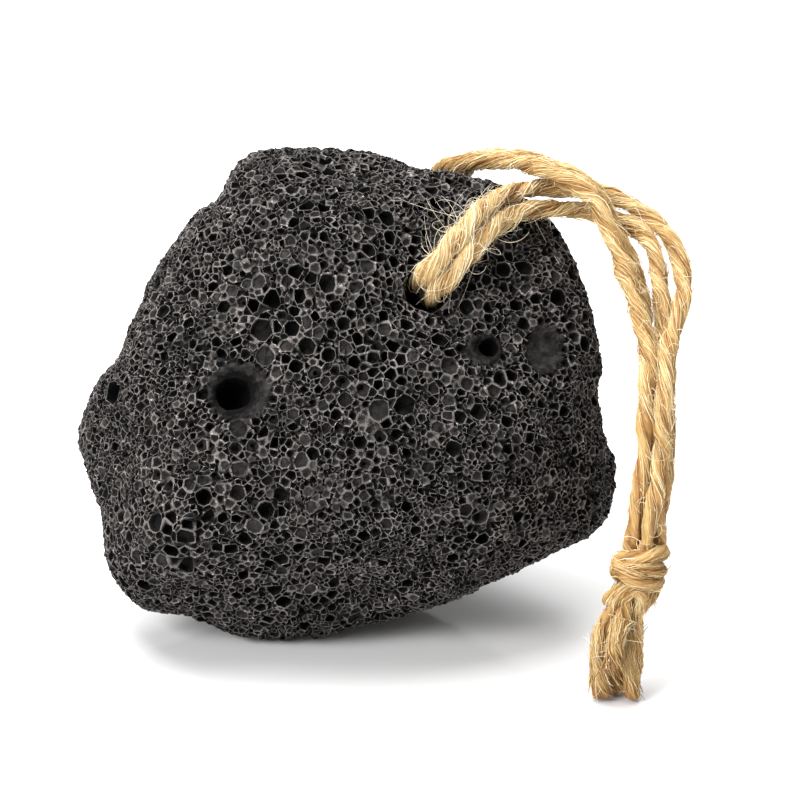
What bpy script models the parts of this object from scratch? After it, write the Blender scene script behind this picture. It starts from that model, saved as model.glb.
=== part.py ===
"""A black lava stone with a doubled jute twine tied through a hole drilled near one corner.

Metres, +Z up. The stone stands on its small flat base at z = 0, with the middle of its box on
the Z axis. Its broad face looks towards -Y and leans back by LEAN. The stone's own directions
are right, up and front: front is square to the broad face. Lists are in millimetres.
"""

import math
import random

import bmesh
import bpy
import numpy as np
from mathutils import Vector, noise

MM = 0.001

# Stone
LEAN = math.radians(22.0)
HEART = (0.55, -0.05, 36.3)
FRONT_REACH = 27.0
BACK_REACH = 30.0
FRONT_ROUNDNESS = 2.4
BACK_ROUNDNESS = 2.9
EDGE_SHARPNESS = 24.0
LUMP_SIZE = 17.0
LUMP_HEIGHT = 1.1
RIPPLE_SIZE = 6.5
RIPPLE_HEIGHT = 0.45
RIPPLE_SHIFT = (40.0, 0.0, 0.0)
CALM_RIM = 0.35
OUTLINE_ROUNDING = (-0.05, -0.025, 0.0, 0.025, 0.05)
FARTHEST = 45.0
HALVINGS = 30
STONE_SEED = 11

# Drilled hole: where its axis meets the broad face and the back, as right, up
HOLE_DIAMETER = 7.5
HOLE_SIDES = 20
DRILL_SPARE = 20.0
HOLE_FRONT = (12.4, 16.4)
HOLE_BACK = (14.5, 18.6)

# Twine
TWINE_DIAMETER = 2.4
TWINE_STEP = 4.8
TWINE_ROUNDNESS = 2
CURVE_PARTS = 12

# The stone's outline as right, up, seen square to the broad face, clockwise from the top
OUTLINE = [
    (-7.8, 42.0), (0.8, 40.7), (6.5, 39.2), (10.6, 36.6), (14.9, 37.0), (20.5, 35.0), (25.0, 33.6),
    (28.8, 31.2), (32.3, 28.2), (35.4, 23.5), (37.3, 18.6), (38.6, 14.6), (39.7, 9.8), (40.5, 4.8),
    (39.7, -0.3), (41.0, -7.4), (42.6, -9.9), (43.9, -14.1), (43.4, -18.3), (39.6, -22.8),
    (34.0, -24.4), (27.4, -27.8), (22.6, -29.7), (17.4, -32.5), (8.0, -35.5), (-1.6, -37.8),
    (-10.6, -39.2), (-18.9, -38.6), (-22.8, -35.9), (-28.7, -34.8), (-33.6, -34.4), (-36.3, -31.5),
    (-39.2, -26.7), (-39.4, -18.7), (-41.8, -14.6), (-43.4, -9.9), (-44.1, -6.8), (-43.0, -2.2),
    (-41.7, 0.8), (-36.9, 5.3), (-35.7, 9.8), (-33.3, 14.1), (-30.2, 21.3), (-27.4, 25.0),
    (-24.0, 29.6), (-20.2, 31.2), (-19.2, 35.2), (-16.2, 38.5), (-11.5, 41.3),
]

# Broad broken faces of the stone: the way each looks, as right, up, front, and its distance
FACES = [
    ((-0.05, 0.05, 1.00), 25.2),
    ((0.38, 0.42, 0.82), 28.0),
    ((-0.45, 0.38, 0.81), 29.5),
    ((-0.80, 0.02, 0.60), 36.0),
    ((-0.05, -0.72, 0.69), 32.0),
    ((0.78, -0.15, 0.60), 37.5),
    ((0.10, 0.85, 0.52), 34.5),
    ((0.12, 0.22, -0.97), 27.0),
    ((-0.42, -0.30, -0.86), 26.5),
    ((0.48, -0.38, -0.80), 28.5),
    ((-0.68, 0.20, -0.70), 32.5),
    ((0.70, 0.10, -0.70), 31.5),
    ((0.00, 0.80, -0.60), 33.5),
]

# Swellings and hollows: right, up, front of the middle, how far it spreads, and its height
SWELLINGS = [
    (-26.0, -24.0, 19.0, 9.0, 1.6),
    (-4.0, -10.0, 26.0, 10.0, 0.9),
    (-12.0, 11.0, 23.0, 9.0, -1.2),
    (12.6, 13.5, 22.0, 5.0, -1.8),
    (31.0, 6.0, 15.0, 7.0, -0.9),
    (38.0, -15.0, 8.0, 8.0, 1.0),
    (2.0, -30.0, 14.0, 8.0, -1.4),
    (-20.0, 8.0, -24.0, 9.0, -1.7),
    (14.0, -6.0, -27.0, 11.0, 1.4),
    (-10.0, 26.0, -18.0, 8.0, 1.4),
    (26.0, 16.0, -17.0, 8.0, -1.2),
    (16.0, 36.0, -9.0, 7.0, -2.2),
]

# Smooth bowls worn or blown into the broad face: right, up, width, height, depth
BOWLS = [
    (-16.5, 0.6, 9.2, 7.6, 2.4),
    (30.7, 7.0, 5.4, 8.4, 1.6),
    (19.6, 7.3, 5.6, 4.0, 1.3),
    (-13.0, 9.9, 5.0, 4.0, 0.8),
    (-25.1, -21.9, 4.4, 3.4, 0.8),
]

# The largest bubbles, open on the broad face: right, up, radius, depth
CAVITIES = [
    (-17.6, -0.1, 2.5, 4.6), (-16.6, -5.0, 1.3, 1.4), (-37.2, 0.5, 1.6, 1.8),
    (-29.0, 13.1, 1.3, 1.5), (-11.5, 14.6, 1.7, 2.4), (-8.5, 10.2, 1.4, 1.6), (-13.0, 9.7, 1.8, 0.8),
    (-12.6, 6.2, 1.8, 1.2), (-6.0, 7.4, 1.5, 1.3), (-3.0, 17.0, 1.5, 1.4), (-3.0, 35.1, 1.3, 1.3),
    (-20.0, 30.5, 1.2, 1.2), (6.1, 27.4, 1.5, 1.6), (20.7, 7.3, 1.6, 2.4), (30.7, 5.0, 2.2, 0.4),
    (30.7, 9.0, 2.0, 0.5), (33.0, 15.2, 1.6, 1.5), (27.5, 20.1, 1.5, 1.6), (24.2, 19.6, 1.4, 1.4),
    (18.6, 13.6, 1.3, 1.2), (14.4, 8.6, 1.5, 1.5), (20.2, -2.5, 1.4, 1.4), (8.9, -1.6, 1.8, 1.6),
    (5.0, -2.2, 1.8, 1.6), (16.4, -8.3, 1.4, 1.4), (-25.1, -21.9, 1.7, 0.6), (-24.8, -25.9, 1.5, 1.3),
    (-29.6, -19.6, 1.6, 1.4), (-21.4, -18.7, 1.3, 1.3), (-16.7, -15.0, 1.3, 1.2),
    (-16.4, -11.3, 1.4, 1.1),
]

# Bubbles over the rest, largest first: how many are tried, least and greatest radius
SCATTER = [(90, 2.1, 2.9), (700, 1.6, 2.1), (9000, 1.2, 1.6)]
BUBBLE_CLOSENESS = 0.97
BUBBLE_DEPTH = (0.8, 1.5)
CREST_UNEVENNESS = 0.22
BASE_MARGIN = 0.9

# The four strands from the middle of the hole to where they gather, as x, y, z on the ground
ROUTES = {
    "strand_front_upper": [
        (12.4, 6.5, 53.3), (12.2, -0.9, 56.0), (12.0, -6.6, 57.9), (12.3, -9.4, 59.5),
        (13.9, -11.1, 62.5), (16.6, -10.3, 65.8), (19.6, -6.1, 68.0), (22.8, -0.9, 69.0),
        (27.6, 3.9, 69.5), (33.3, 6.9, 68.8), (38.9, 6.9, 68.4), (44.1, 4.3, 67.4),
        (48.8, 0.4, 65.3), (51.9, -4.1, 62.2), (52.7, -9.2, 58.5), (51.9, -14.0, 55.8),
        (50.5, -17.6, 53.4),
    ],
    "strand_front_lower": [
        (14.2, 5.7, 51.4), (13.9, -1.7, 54.0), (13.7, -7.1, 55.6), (14.1, -9.7, 57.0),
        (15.9, -11.5, 59.6), (18.8, -10.6, 62.9), (21.5, -6.7, 65.0), (24.0, -2.2, 66.1),
        (27.7, 1.5, 66.8), (33.1, 4.5, 66.2), (38.6, 5.3, 65.4), (43.1, 3.2, 64.8),
        (46.9, -1.2, 63.8), (48.6, -5.3, 61.5), (49.1, -9.2, 57.8), (49.4, -12.8, 53.9),
    ],
    "strand_back_upper": [
        (12.4, 6.8, 53.2), (13.3, 15.3, 50.3), (13.8, 23.0, 47.7), (13.8, 27.1, 46.9),
        (13.6, 30.6, 47.9), (13.5, 32.7, 51.4), (13.6, 31.2, 56.7), (14.2, 26.9, 62.5),
        (15.9, 21.7, 67.3), (20.3, 15.5, 70.4), (25.5, 10.8, 72.0), (29.9, 6.8, 72.4),
        (33.4, 4.0, 71.8), (36.6, 1.3, 71.1), (39.1, -0.9, 69.4), (40.4, -3.0, 67.3),
        (41.9, -5.5, 64.5), (43.2, -8.4, 61.5), (44.3, -11.5, 58.7), (45.5, -15.6, 55.5),
    ],
    "strand_back_lower": [
        (14.2, 6.1, 51.2), (15.2, 14.5, 48.6), (15.8, 22.0, 46.0), (16.0, 25.9, 45.3),
        (16.2, 29.3, 46.4), (16.4, 31.4, 49.6), (16.7, 31.0, 54.3), (17.4, 28.3, 59.7),
        (18.8, 24.2, 65.1), (21.6, 19.6, 69.3), (26.0, 14.9, 71.4), (30.2, 10.7, 72.0),
        (34.0, 7.3, 71.6), (37.4, 4.5, 70.8), (39.9, 2.2, 68.9), (41.4, 0.0, 66.6),
        (43.2, -2.8, 63.5), (44.8, -5.4, 60.4), (46.0, -8.1, 57.4), (46.4, -12.1, 53.9),
    ],
}

# Middle line of the gathered strands down to the knot, how far apart the strands' own middles
# are there, how far the four turn about each other, and each one's corner, as right, front
GATHERED = [
    (48.2, -19.3, 50.4), (48.0, -22.5, 47.4), (47.7, -25.3, 43.6), (47.7, -27.9, 38.4),
    (47.2, -29.6, 33.8), (46.6, -30.6, 29.3), (46.1, -31.3, 24.9),
]
GATHERED_SPACING = 2.74
GATHERED_TURN = math.radians(40.0)
CORNERS = {
    "strand_front_upper": (1, 1),
    "strand_front_lower": (1, -1),
    "strand_back_upper": (-1, 1),
    "strand_back_lower": (-1, -1),
}

# Knot: its body as middle, the way it runs there, and radius, from the strands to the tails
KNOT_SIDES = 16
KNOT_BODY = [
    ((46.05, -31.37, 24.50), (0.11, 0.16, 0.98), 3.0),
    ((45.30, -31.70, 22.40), (0.25, 0.18, 0.95), 3.9),
    ((44.10, -32.30, 19.40), (0.32, 0.20, 0.93), 3.7),
    ((43.20, -32.90, 16.60), (0.25, 0.15, 0.95), 3.5),
    ((42.90, -33.20, 14.80), (0.00, 0.00, 1.00), 3.1),
]

# Turns of twine round the knot: middle, the way the turn looks, its two radii
KNOT_TURN_SIDES = (18, 10)
KNOT_TURNS = [
    ((44.8, -31.7, 21.3), (0.02, -0.10, 1.0), 2.5, 1.9),
    ((43.1, -32.8, 17.9), (0.42, 0.20, 1.0), 2.2, 1.7),
]

# The four cut tails, from the knot down to the ground, as x, y, z
TAILS = {
    "tail_left": [(41.2, -34.0, 13.9), (40.3, -34.5, 12.4), (39.5, -35.1, 10.0), (39.0, -35.6, 7.0),
                  (39.4, -35.9, 3.6), (40.0, -36.0, 0.8)],
    "tail_right": [(45.0, -33.1, 14.0), (44.8, -34.0, 12.0), (44.7, -35.0, 8.6), (44.6, -35.6, 4.8),
                   (44.5, -35.8, 0.7)],
    "tail_back": [(43.1, -31.1, 14.2), (42.8, -32.0, 10.8), (42.9, -32.8, 7.2), (43.0, -33.3, 3.6),
                  (42.9, -33.5, 0.6)],
    "tail_middle": [(42.6, -36.4, 14.2), (42.1, -37.1, 12.6), (41.7, -37.6, 10.6), (41.5, -37.8, 8.6)],
}


def clear_scene():
    for item in list(bpy.data.objects):
        bpy.data.objects.remove(item, do_unlink=True)


def finish(name, base_colour, roughness):
    """A plain finish of one colour."""
    material = bpy.data.materials.new(name)
    material.use_nodes = True
    shader = material.node_tree.nodes["Principled BSDF"]
    shader.inputs["Base Color"].default_value = (*base_colour, 1.0)
    shader.inputs["Roughness"].default_value = roughness
    shader.inputs["Metallic"].default_value = 0.0
    return material


def stand(point):
    """Where a point of the stone, as right, up, front, is once the stone leans on its base."""
    right, up, front = point
    y = up * math.sin(LEAN) - front * math.cos(LEAN)
    z = up * math.cos(LEAN) + front * math.sin(LEAN)
    return Vector((right, y, z)) + Vector(HEART)


def outline_by_angle():
    corners = sorted((math.atan2(up, right), math.hypot(right, up)) for right, up in OUTLINE)
    angles, reaches = zip(*corners)
    return np.array(angles), np.array(reaches)


OUTLINE_ANGLES, OUTLINE_REACHES = outline_by_angle()
FACE_WAYS = [(Vector(way).normalized(), distance) for way, distance in FACES]


def outline_reach(angle):
    """Distance of the outline from the stone's heart, with its corners rounded off."""
    reads = np.interp([angle + turn for turn in OUTLINE_ROUNDING], OUTLINE_ANGLES,
                      OUTLINE_REACHES, period=2.0 * math.pi)
    return float(reads.mean())


def plain_reach(way):
    """How far the stone goes from its heart along a unit direction, before its relief."""
    right, up, front = way
    roundness, depth = FRONT_ROUNDNESS, FRONT_REACH
    if front < 0.0:
        roundness, depth = BACK_ROUNDNESS, BACK_REACH
    across = math.hypot(right, up) / outline_reach(math.atan2(up, right))
    hull = (across ** roundness + (abs(front) / depth) ** roundness) ** (1.0 / roundness)
    push = hull ** EDGE_SHARPNESS
    for normal, distance in FACE_WAYS:
        share = max(0.0, normal.dot(way)) / distance
        push += share ** EDGE_SHARPNESS
    return push ** (-1.0 / EDGE_SHARPNESS)


def stone_reach(way):
    """How far the stone goes along a unit direction, with its swellings and rough relief."""
    reach = plain_reach(way)
    point = way * reach
    calm = min(1.0, abs(way.z) / CALM_RIM)
    reach += calm * LUMP_HEIGHT * noise.noise(point / LUMP_SIZE)
    reach += RIPPLE_HEIGHT * noise.noise(point / RIPPLE_SIZE + Vector(RIPPLE_SHIFT))
    for right, up, front, spread, height in SWELLINGS:
        apart = (point - Vector((right, up, front))).length
        reach += height * math.exp(-(apart / spread) ** 2)
    return reach - bowl_depth(point)


def bowl_depth(point):
    """How far the smooth bowls of the broad face sink the surface at a point."""
    depth = 0.0
    for right, up, width, height, deepest in BOWLS:
        spread = (2.0 * (point.x - right) / width) ** 2 + (2.0 * (point.y - up) / height) ** 2
        if point.z > 0.0 and spread < 1.0:
            depth = max(depth, deepest * math.sqrt(1.0 - spread))
    return depth


def way_to(right, up, side=1.0):
    """The direction from the heart to the spot of the front (or back) at this right and up."""
    low, high = 0.0, FARTHEST
    for _ in range(HALVINGS):
        front = 0.5 * (low + high)
        point = Vector((right, up, side * front))
        if point.length < stone_reach(point.normalized()):
            low = front
        else:
            high = front
    return Vector((right, up, side * low)).normalized()


def hole_line():
    """The two spots where the drilled hole's axis passes the stone's faces, as points."""
    front_way = way_to(*HOLE_FRONT)
    back_way = way_to(*HOLE_BACK, side=-1.0)
    return front_way * stone_reach(front_way), back_way * stone_reach(back_way)


def pit_bottom(way, radius, depth):
    """The bottom of a bubble, or the plain base where the stone rests."""
    place = settle(way, stone_reach(way))
    if place.z < BASE_MARGIN:
        return place
    return settle(way, stone_reach(way) - depth)


def place_bubbles(rng):
    """The bubbles as a direction, a radius and a depth: the large ones, then what fits between."""
    bubbles = []
    centres = np.zeros((0, 3))
    radii = np.zeros(0)

    def add(way, radius, depth):
        nonlocal centres, radii
        bubbles.append((way, radius, depth))
        centres = np.vstack([centres, tuple(way * stone_reach(way))])
        radii = np.append(radii, radius)

    for right, up, radius, depth in CAVITIES:
        add(way_to(right, up), radius, depth)
    for tries, least, greatest in SCATTER:
        for _ in range(tries):
            way = Vector([rng.gauss(0.0, 1.0) for _ in range(3)]).normalized()
            radius = rng.uniform(least, greatest)
            depth = radius * rng.uniform(*BUBBLE_DEPTH)
            apart = np.linalg.norm(centres - np.array(tuple(way * plain_reach(way))), axis=1)
            if np.all(apart > BUBBLE_CLOSENESS * (radii + radius)):
                add(way, radius, depth)
    return bubbles


def crest_way(bubbles, corner_ids):
    """Where the walls of three neighbouring bubbles meet: nearer to the smaller ones."""
    pull = Vector((0.0, 0.0, 0.0))
    for bubble_id in corner_ids:
        way, radius, _ = bubbles[bubble_id]
        pull += way / radius
    return pull.normalized()


def settle(way, reach):
    """The place on the ground of a surface point, pulled in where it would go below the base."""
    place = stand(way * reach)
    if place.z < 0.0:
        place = stand(way * (reach * HEART[2] / (HEART[2] - place.z)))
        place.z = 0.0
    return place


def neighbours(bubbles):
    """A closed net of triangles over the bubbles' directions."""
    net = bmesh.new()
    corners = [net.verts.new(way) for way, _, _ in bubbles]
    net.verts.index_update()
    bmesh.ops.convex_hull(net, input=corners)
    return net


def make_stone(material):
    """The stone: one closed body, all over bubbles cut open, with a flat base and the hole."""
    rng = random.Random(STONE_SEED)
    bubbles = place_bubbles(rng)
    net = neighbours(bubbles)
    shape = bmesh.new()
    bottoms = [shape.verts.new(pit_bottom(*bubble) * MM) for bubble in bubbles]
    crests = {}
    for face in net.faces:
        way = crest_way(bubbles, [corner.index for corner in face.verts])
        reach = stone_reach(way) + rng.uniform(-CREST_UNEVENNESS, CREST_UNEVENNESS)
        crests[face.index] = shape.verts.new(settle(way, reach) * MM)
    for edge in net.edges:
        left, right = (crests[face.index] for face in edge.link_faces)
        for corner in edge.verts:
            shape.faces.new((bottoms[corner.index], left, right))
    net.free()
    bmesh.ops.recalc_face_normals(shape, faces=shape.faces)
    mesh = bpy.data.meshes.new("rock")
    shape.to_mesh(mesh)
    shape.free()
    mesh.materials.append(material)
    stone = bpy.data.objects.new("rock", mesh)
    bpy.context.collection.objects.link(stone)
    drill_hole(stone)
    return stone


def drill_hole(stone):
    """Cuts the round hole for the twine, slanting a little from the broad face to the back."""
    front, back = (stand(point) * MM for point in hole_line())
    along = back - front
    bpy.ops.mesh.primitive_cylinder_add(vertices=HOLE_SIDES, radius=HOLE_DIAMETER / 2.0 * MM,
                                        depth=along.length + DRILL_SPARE * MM)
    drill = bpy.context.object
    drill.name = "drill"
    drill.location = (front + back) / 2.0
    drill.rotation_euler = along.to_track_quat("Z", "Y").to_euler()
    drill.hide_render = True
    drill.display_type = "WIRE"
    cut = stone.modifiers.new("drilled hole", "BOOLEAN")
    cut.operation = "DIFFERENCE"
    cut.solver = "EXACT"
    cut.object = drill


def smooth_curve(corners):
    """Points close together on a smooth curve through the given ones."""
    corners = [Vector(corner) for corner in corners]
    padded = [2.0 * corners[0] - corners[1], *corners, 2.0 * corners[-1] - corners[-2]]
    points = []
    for before, start, end, after in zip(padded, padded[1:], padded[2:], padded[3:]):
        for part in range(CURVE_PARTS):
            t = part / CURVE_PARTS
            pull = (end - before) * t
            bend = (2.0 * before - 5.0 * start + 4.0 * end - after) * t ** 2
            swing = (3.0 * start - before - 3.0 * end + after) * t ** 3
            points.append(start + 0.5 * (pull + bend + swing))
    return points + [corners[-1]]


def even_points(curve, step):
    """Points of the curve about one step apart, with both its ends."""
    travelled = [0.0]
    for here, there in zip(curve, curve[1:]):
        travelled.append(travelled[-1] + (there - here).length)
    count = max(2, round(travelled[-1] / step))
    wanted = np.linspace(0.0, travelled[-1], count + 1)
    columns = [np.interp(wanted, travelled, [point[axis] for point in curve]) for axis in range(3)]
    return list(zip(*columns))


def make_twine(name, corners, material):
    """One round length of twine along a smooth curve, with flat ends."""
    points = even_points(smooth_curve(corners), TWINE_STEP)
    shape = bpy.data.curves.new(name, "CURVE")
    shape.dimensions = "3D"
    shape.bevel_depth = TWINE_DIAMETER / 2.0 * MM
    shape.bevel_resolution = TWINE_ROUNDNESS
    shape.use_fill_caps = True
    spline = shape.splines.new("POLY")
    spline.points.add(len(points) - 1)
    for slot, point in zip(spline.points, points):
        slot.co = (*(Vector(point) * MM), 1.0)
    spline.use_smooth = True
    shape.materials.append(material)
    twine = bpy.data.objects.new(name, shape)
    bpy.context.collection.objects.link(twine)
    return twine


def gathered_line(corner_right, corner_front):
    """One strand's way through the gathered part, at its corner of the slowly turning square."""
    middles = [Vector(middle) for middle in GATHERED]
    last = len(middles) - 1
    points = []
    for place, middle in enumerate(middles):
        along = (middles[min(place + 1, last)] - middles[max(place - 1, 0)]).normalized()
        right = (Vector((1.0, 0.0, 0.0)) - along * along.x).normalized()
        front = along.cross(right)
        turn = GATHERED_TURN * place / last
        aside = right * math.cos(turn) + front * math.sin(turn)
        ahead = front * math.cos(turn) - right * math.sin(turn)
        points.append(middle + (aside * corner_right + ahead * corner_front) * GATHERED_SPACING / 2.0)
    return points


def ring_of_corners(shape, middle, way, radius):
    """A ring of the knot's corners round one spot of its middle line, square to its way."""
    turn = Vector(way).to_track_quat("Z", "Y")
    corners = []
    for side in range(KNOT_SIDES):
        angle = 2.0 * math.pi * side / KNOT_SIDES
        offset = turn @ Vector((math.cos(angle), math.sin(angle), 0.0)) * radius
        corners.append(shape.verts.new((Vector(middle) + offset) * MM))
    return corners


def make_knot(material):
    """The knot: a barrel with flat ends where the twine enters and leaves, and two turns on it."""
    shape = bmesh.new()
    rings = [ring_of_corners(shape, *station) for station in KNOT_BODY]
    for upper, lower in zip(rings, rings[1:]):
        for side in range(KNOT_SIDES):
            after = (side + 1) % KNOT_SIDES
            shape.faces.new((upper[side], upper[after], lower[after], lower[side]))
    shape.faces.new(rings[0])
    shape.faces.new(rings[-1])
    bmesh.ops.recalc_face_normals(shape, faces=shape.faces)
    mesh = bpy.data.meshes.new("knot")
    shape.to_mesh(mesh)
    shape.free()
    mesh.materials.append(material)
    knot = bpy.data.objects.new("knot", mesh)
    bpy.context.collection.objects.link(knot)
    ring_sides, twine_sides = KNOT_TURN_SIDES
    for middle, way, ring_radius, twine_radius in KNOT_TURNS:
        bpy.ops.mesh.primitive_torus_add(major_segments=ring_sides, minor_segments=twine_sides,
                                         major_radius=ring_radius * MM,
                                         minor_radius=twine_radius * MM)
        turn = bpy.context.object
        turn.name = "turn round the knot"
        turn.location = Vector(middle) * MM
        turn.rotation_euler = Vector(way).to_track_quat("Z", "Y").to_euler()
        turn.hide_render = True
        turn.display_type = "WIRE"
        joined = knot.modifiers.new("turn", "BOOLEAN")
        joined.operation = "UNION"
        joined.solver = "EXACT"
        joined.object = turn
    return knot


clear_scene()
rock_finish = finish("black lava", (0.030, 0.028, 0.028), 0.92)
twine_finish = finish("jute twine", (0.62, 0.43, 0.20), 0.88)
make_stone(rock_finish)
for strand, route in ROUTES.items():
    make_twine(strand, route + gathered_line(*CORNERS[strand]), twine_finish)
make_knot(twine_finish)
for tail, route in TAILS.items():
    make_twine(tail, route, twine_finish)
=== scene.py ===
import math

import bpy
import numpy as np
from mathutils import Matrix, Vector, noise


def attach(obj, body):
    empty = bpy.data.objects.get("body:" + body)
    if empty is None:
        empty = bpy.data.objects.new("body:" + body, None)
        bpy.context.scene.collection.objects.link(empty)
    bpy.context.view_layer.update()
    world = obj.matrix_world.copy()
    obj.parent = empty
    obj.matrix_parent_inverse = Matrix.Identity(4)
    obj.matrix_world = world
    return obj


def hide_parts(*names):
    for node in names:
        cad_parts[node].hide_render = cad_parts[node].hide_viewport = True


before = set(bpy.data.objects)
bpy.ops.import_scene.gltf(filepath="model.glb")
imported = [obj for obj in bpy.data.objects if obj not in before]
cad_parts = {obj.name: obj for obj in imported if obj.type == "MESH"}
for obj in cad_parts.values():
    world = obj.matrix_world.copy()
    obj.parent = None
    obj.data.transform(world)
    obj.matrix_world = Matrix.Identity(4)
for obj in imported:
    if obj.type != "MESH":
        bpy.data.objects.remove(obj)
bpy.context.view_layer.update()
scene = bpy.context.scene

# The camera stands in front of the rock and looks down a little, with a long lens.
MM = 0.001
CAMERA_AIM = Vector((8.75, -0.5, 35.6)) * MM
CAMERA_DISTANCE = 550.0 * MM
CAMERA_TILT = math.radians(22.0)
SEEN_WIDTH = 128.0 * MM
SENSOR_WIDTH = 36.0

lens = bpy.data.cameras.new("camera")
lens.sensor_width = SENSOR_WIDTH
lens.lens = SENSOR_WIDTH * CAMERA_DISTANCE / SEEN_WIDTH
camera = bpy.data.objects.new("camera", lens)
backward = Vector((0.0, -math.cos(CAMERA_TILT), math.sin(CAMERA_TILT)))
camera.location = CAMERA_AIM + backward * CAMERA_DISTANCE
camera.rotation_euler = (math.pi / 2.0 - CAMERA_TILT, 0.0, 0.0)
scene.collection.objects.link(camera)
scene.camera = camera


# The twine loop. Two lengths of two-ply jute twine pass side by side through the drilled hole, so
# that four strands run from it to the knot. Each ply is a soft bundle of golden jute fibres, and
# the two plies are laid up round each other. All four strands are free from the hole to the knot.
PLY_RADIUS = 0.92 * MM
PLY_OFFSET = 0.36 * MM
LAY = 17.0 * MM

# Each strand's way from inside the hole to where all four are gathered, in millimetres
STRANDS = {
    "strand_front_upper": [
        (12.4, 6.5, 53.3), (12.2, -0.9, 56.0), (12.0, -6.6, 57.9), (12.3, -9.4, 59.5),
        (14.1, -11.15, 62.2), (16.85, -10.35, 65.5), (19.8, -6.15, 67.7), (22.8, -0.9, 69.0),
        (27.6, 3.9, 69.5), (33.3, 6.9, 68.8), (38.9, 6.9, 68.4), (44.1, 4.3, 67.4),
        (48.8, 0.4, 65.3), (51.9, -4.1, 62.2), (52.7, -9.2, 58.5), (51.9, -14.0, 55.8),
        (50.5, -17.6, 53.4),
    ],
    "strand_front_lower": [
        (14.2, 5.7, 51.4), (13.9, -1.7, 54.0), (13.7, -7.1, 55.6), (14.1, -9.7, 57.0),
        (15.7, -11.45, 59.9), (18.55, -10.55, 63.2), (21.3, -6.65, 65.3), (24.0, -2.2, 66.1),
        (27.7, 1.5, 66.8), (33.1, 4.5, 66.2), (38.6, 5.3, 65.4), (43.1, 3.2, 64.8),
        (46.9, -1.2, 63.8), (48.6, -5.3, 61.5), (49.1, -9.2, 57.8), (49.4, -12.8, 53.9),
    ],
    "strand_back_upper": [
        (12.4, 6.8, 53.2), (13.3, 15.3, 50.3), (13.8, 23.0, 47.7), (13.8, 27.1, 46.9),
        (13.6, 30.6, 47.9), (13.5, 32.7, 51.4), (13.6, 31.2, 56.7), (14.2, 26.9, 62.5),
        (15.9, 21.7, 67.3), (20.3, 15.5, 70.4), (25.5, 10.8, 72.0), (29.9, 6.8, 72.4),
        (33.4, 4.0, 71.8), (36.6, 1.3, 71.1), (39.1, -0.9, 69.4), (40.4, -3.0, 67.3),
        (41.9, -5.5, 64.5), (43.2, -8.4, 61.5), (44.3, -11.5, 58.7), (45.5, -15.6, 55.5),
    ],
    "strand_back_lower": [
        (14.2, 6.1, 51.2), (15.2, 14.5, 48.6), (15.8, 22.0, 46.0), (16.0, 25.9, 45.3),
        (16.2, 29.3, 46.4), (16.4, 31.4, 49.6), (16.7, 31.0, 54.3), (17.4, 28.3, 59.7),
        (18.8, 24.2, 65.1), (21.6, 19.6, 69.3), (26.0, 14.9, 71.4), (30.2, 10.7, 72.0),
        (34.0, 7.3, 71.6), (37.4, 4.5, 70.8), (39.9, 2.2, 68.9), (41.4, 0.0, 66.6),
        (43.2, -2.8, 63.5), (44.8, -5.4, 60.4), (46.0, -8.1, 57.4), (46.4, -12.1, 53.9),
    ],
}
HOLE_MOUTHS = {"front": (12.95, -11.15, 58.5), "back": (15.05, 27.0, 45.4)}

# Where all four lie together: their middle, how far apart they are and how far they turn
GATHERED = [
    (48.2, -19.3, 50.4), (48.0, -22.5, 47.4), (47.7, -25.3, 43.6), (47.7, -27.9, 38.4),
    (47.2, -29.6, 33.8), (46.6, -30.6, 29.3), (46.1, -31.3, 24.9),
]
GATHERED_SPACING = 2.74
GATHERED_TURN = math.radians(40.0)
CORNERS = {
    "strand_front_upper": (1, 1), "strand_front_lower": (1, -1),
    "strand_back_upper": (-1, 1), "strand_back_lower": (-1, -1),
}
PATH_STEP = 0.4
STEADY_WAY = (0.3, 0.9, 0.3)


def gathered_line(corner_right, corner_front):
    """One strand's way through the gathered part, at its corner of the slowly turning square."""
    middles = [Vector(middle) for middle in GATHERED]
    last = len(middles) - 1
    points = []
    for place, middle in enumerate(middles):
        along = (middles[min(place + 1, last)] - middles[max(place - 1, 0)]).normalized()
        right = (Vector((1.0, 0.0, 0.0)) - along * along.x).normalized()
        front = along.cross(right)
        turn = GATHERED_TURN * place / last
        aside = right * math.cos(turn) + front * math.sin(turn)
        ahead = front * math.cos(turn) - right * math.sin(turn)
        offset = (aside * corner_right + ahead * corner_front) * GATHERED_SPACING / 2.0
        points.append(tuple(middle + offset))
    return points


def steps_of(line):
    """The distance from each point of a line to the next."""
    return np.linalg.norm(np.diff(line, axis=0), axis=1)


def smooth_line(corners, parts=12):
    """Evenly spaced points, in metres, on a smooth curve through the given ones."""
    corners = np.array(corners, dtype=float)
    ends = np.vstack([2.0 * corners[0] - corners[1], corners, 2.0 * corners[-1] - corners[-2]])
    points = []
    for before, start, end, after in zip(ends, ends[1:], ends[2:], ends[3:]):
        for t in np.arange(parts) / parts:
            pull = (end - before) * t
            bend = (2.0 * before - 5.0 * start + 4.0 * end - after) * t ** 2
            swing = (3.0 * start - before - 3.0 * end + after) * t ** 3
            points.append(start + 0.5 * (pull + bend + swing))
    points = np.array(points + [corners[-1]])
    travelled = np.concatenate([[0.0], np.cumsum(steps_of(points))])
    wanted = np.linspace(0.0, travelled[-1], max(2, round(travelled[-1] / PATH_STEP)) + 1)
    return np.stack([np.interp(wanted, travelled, points[:, axis]) for axis in range(3)], axis=1) * MM


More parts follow.
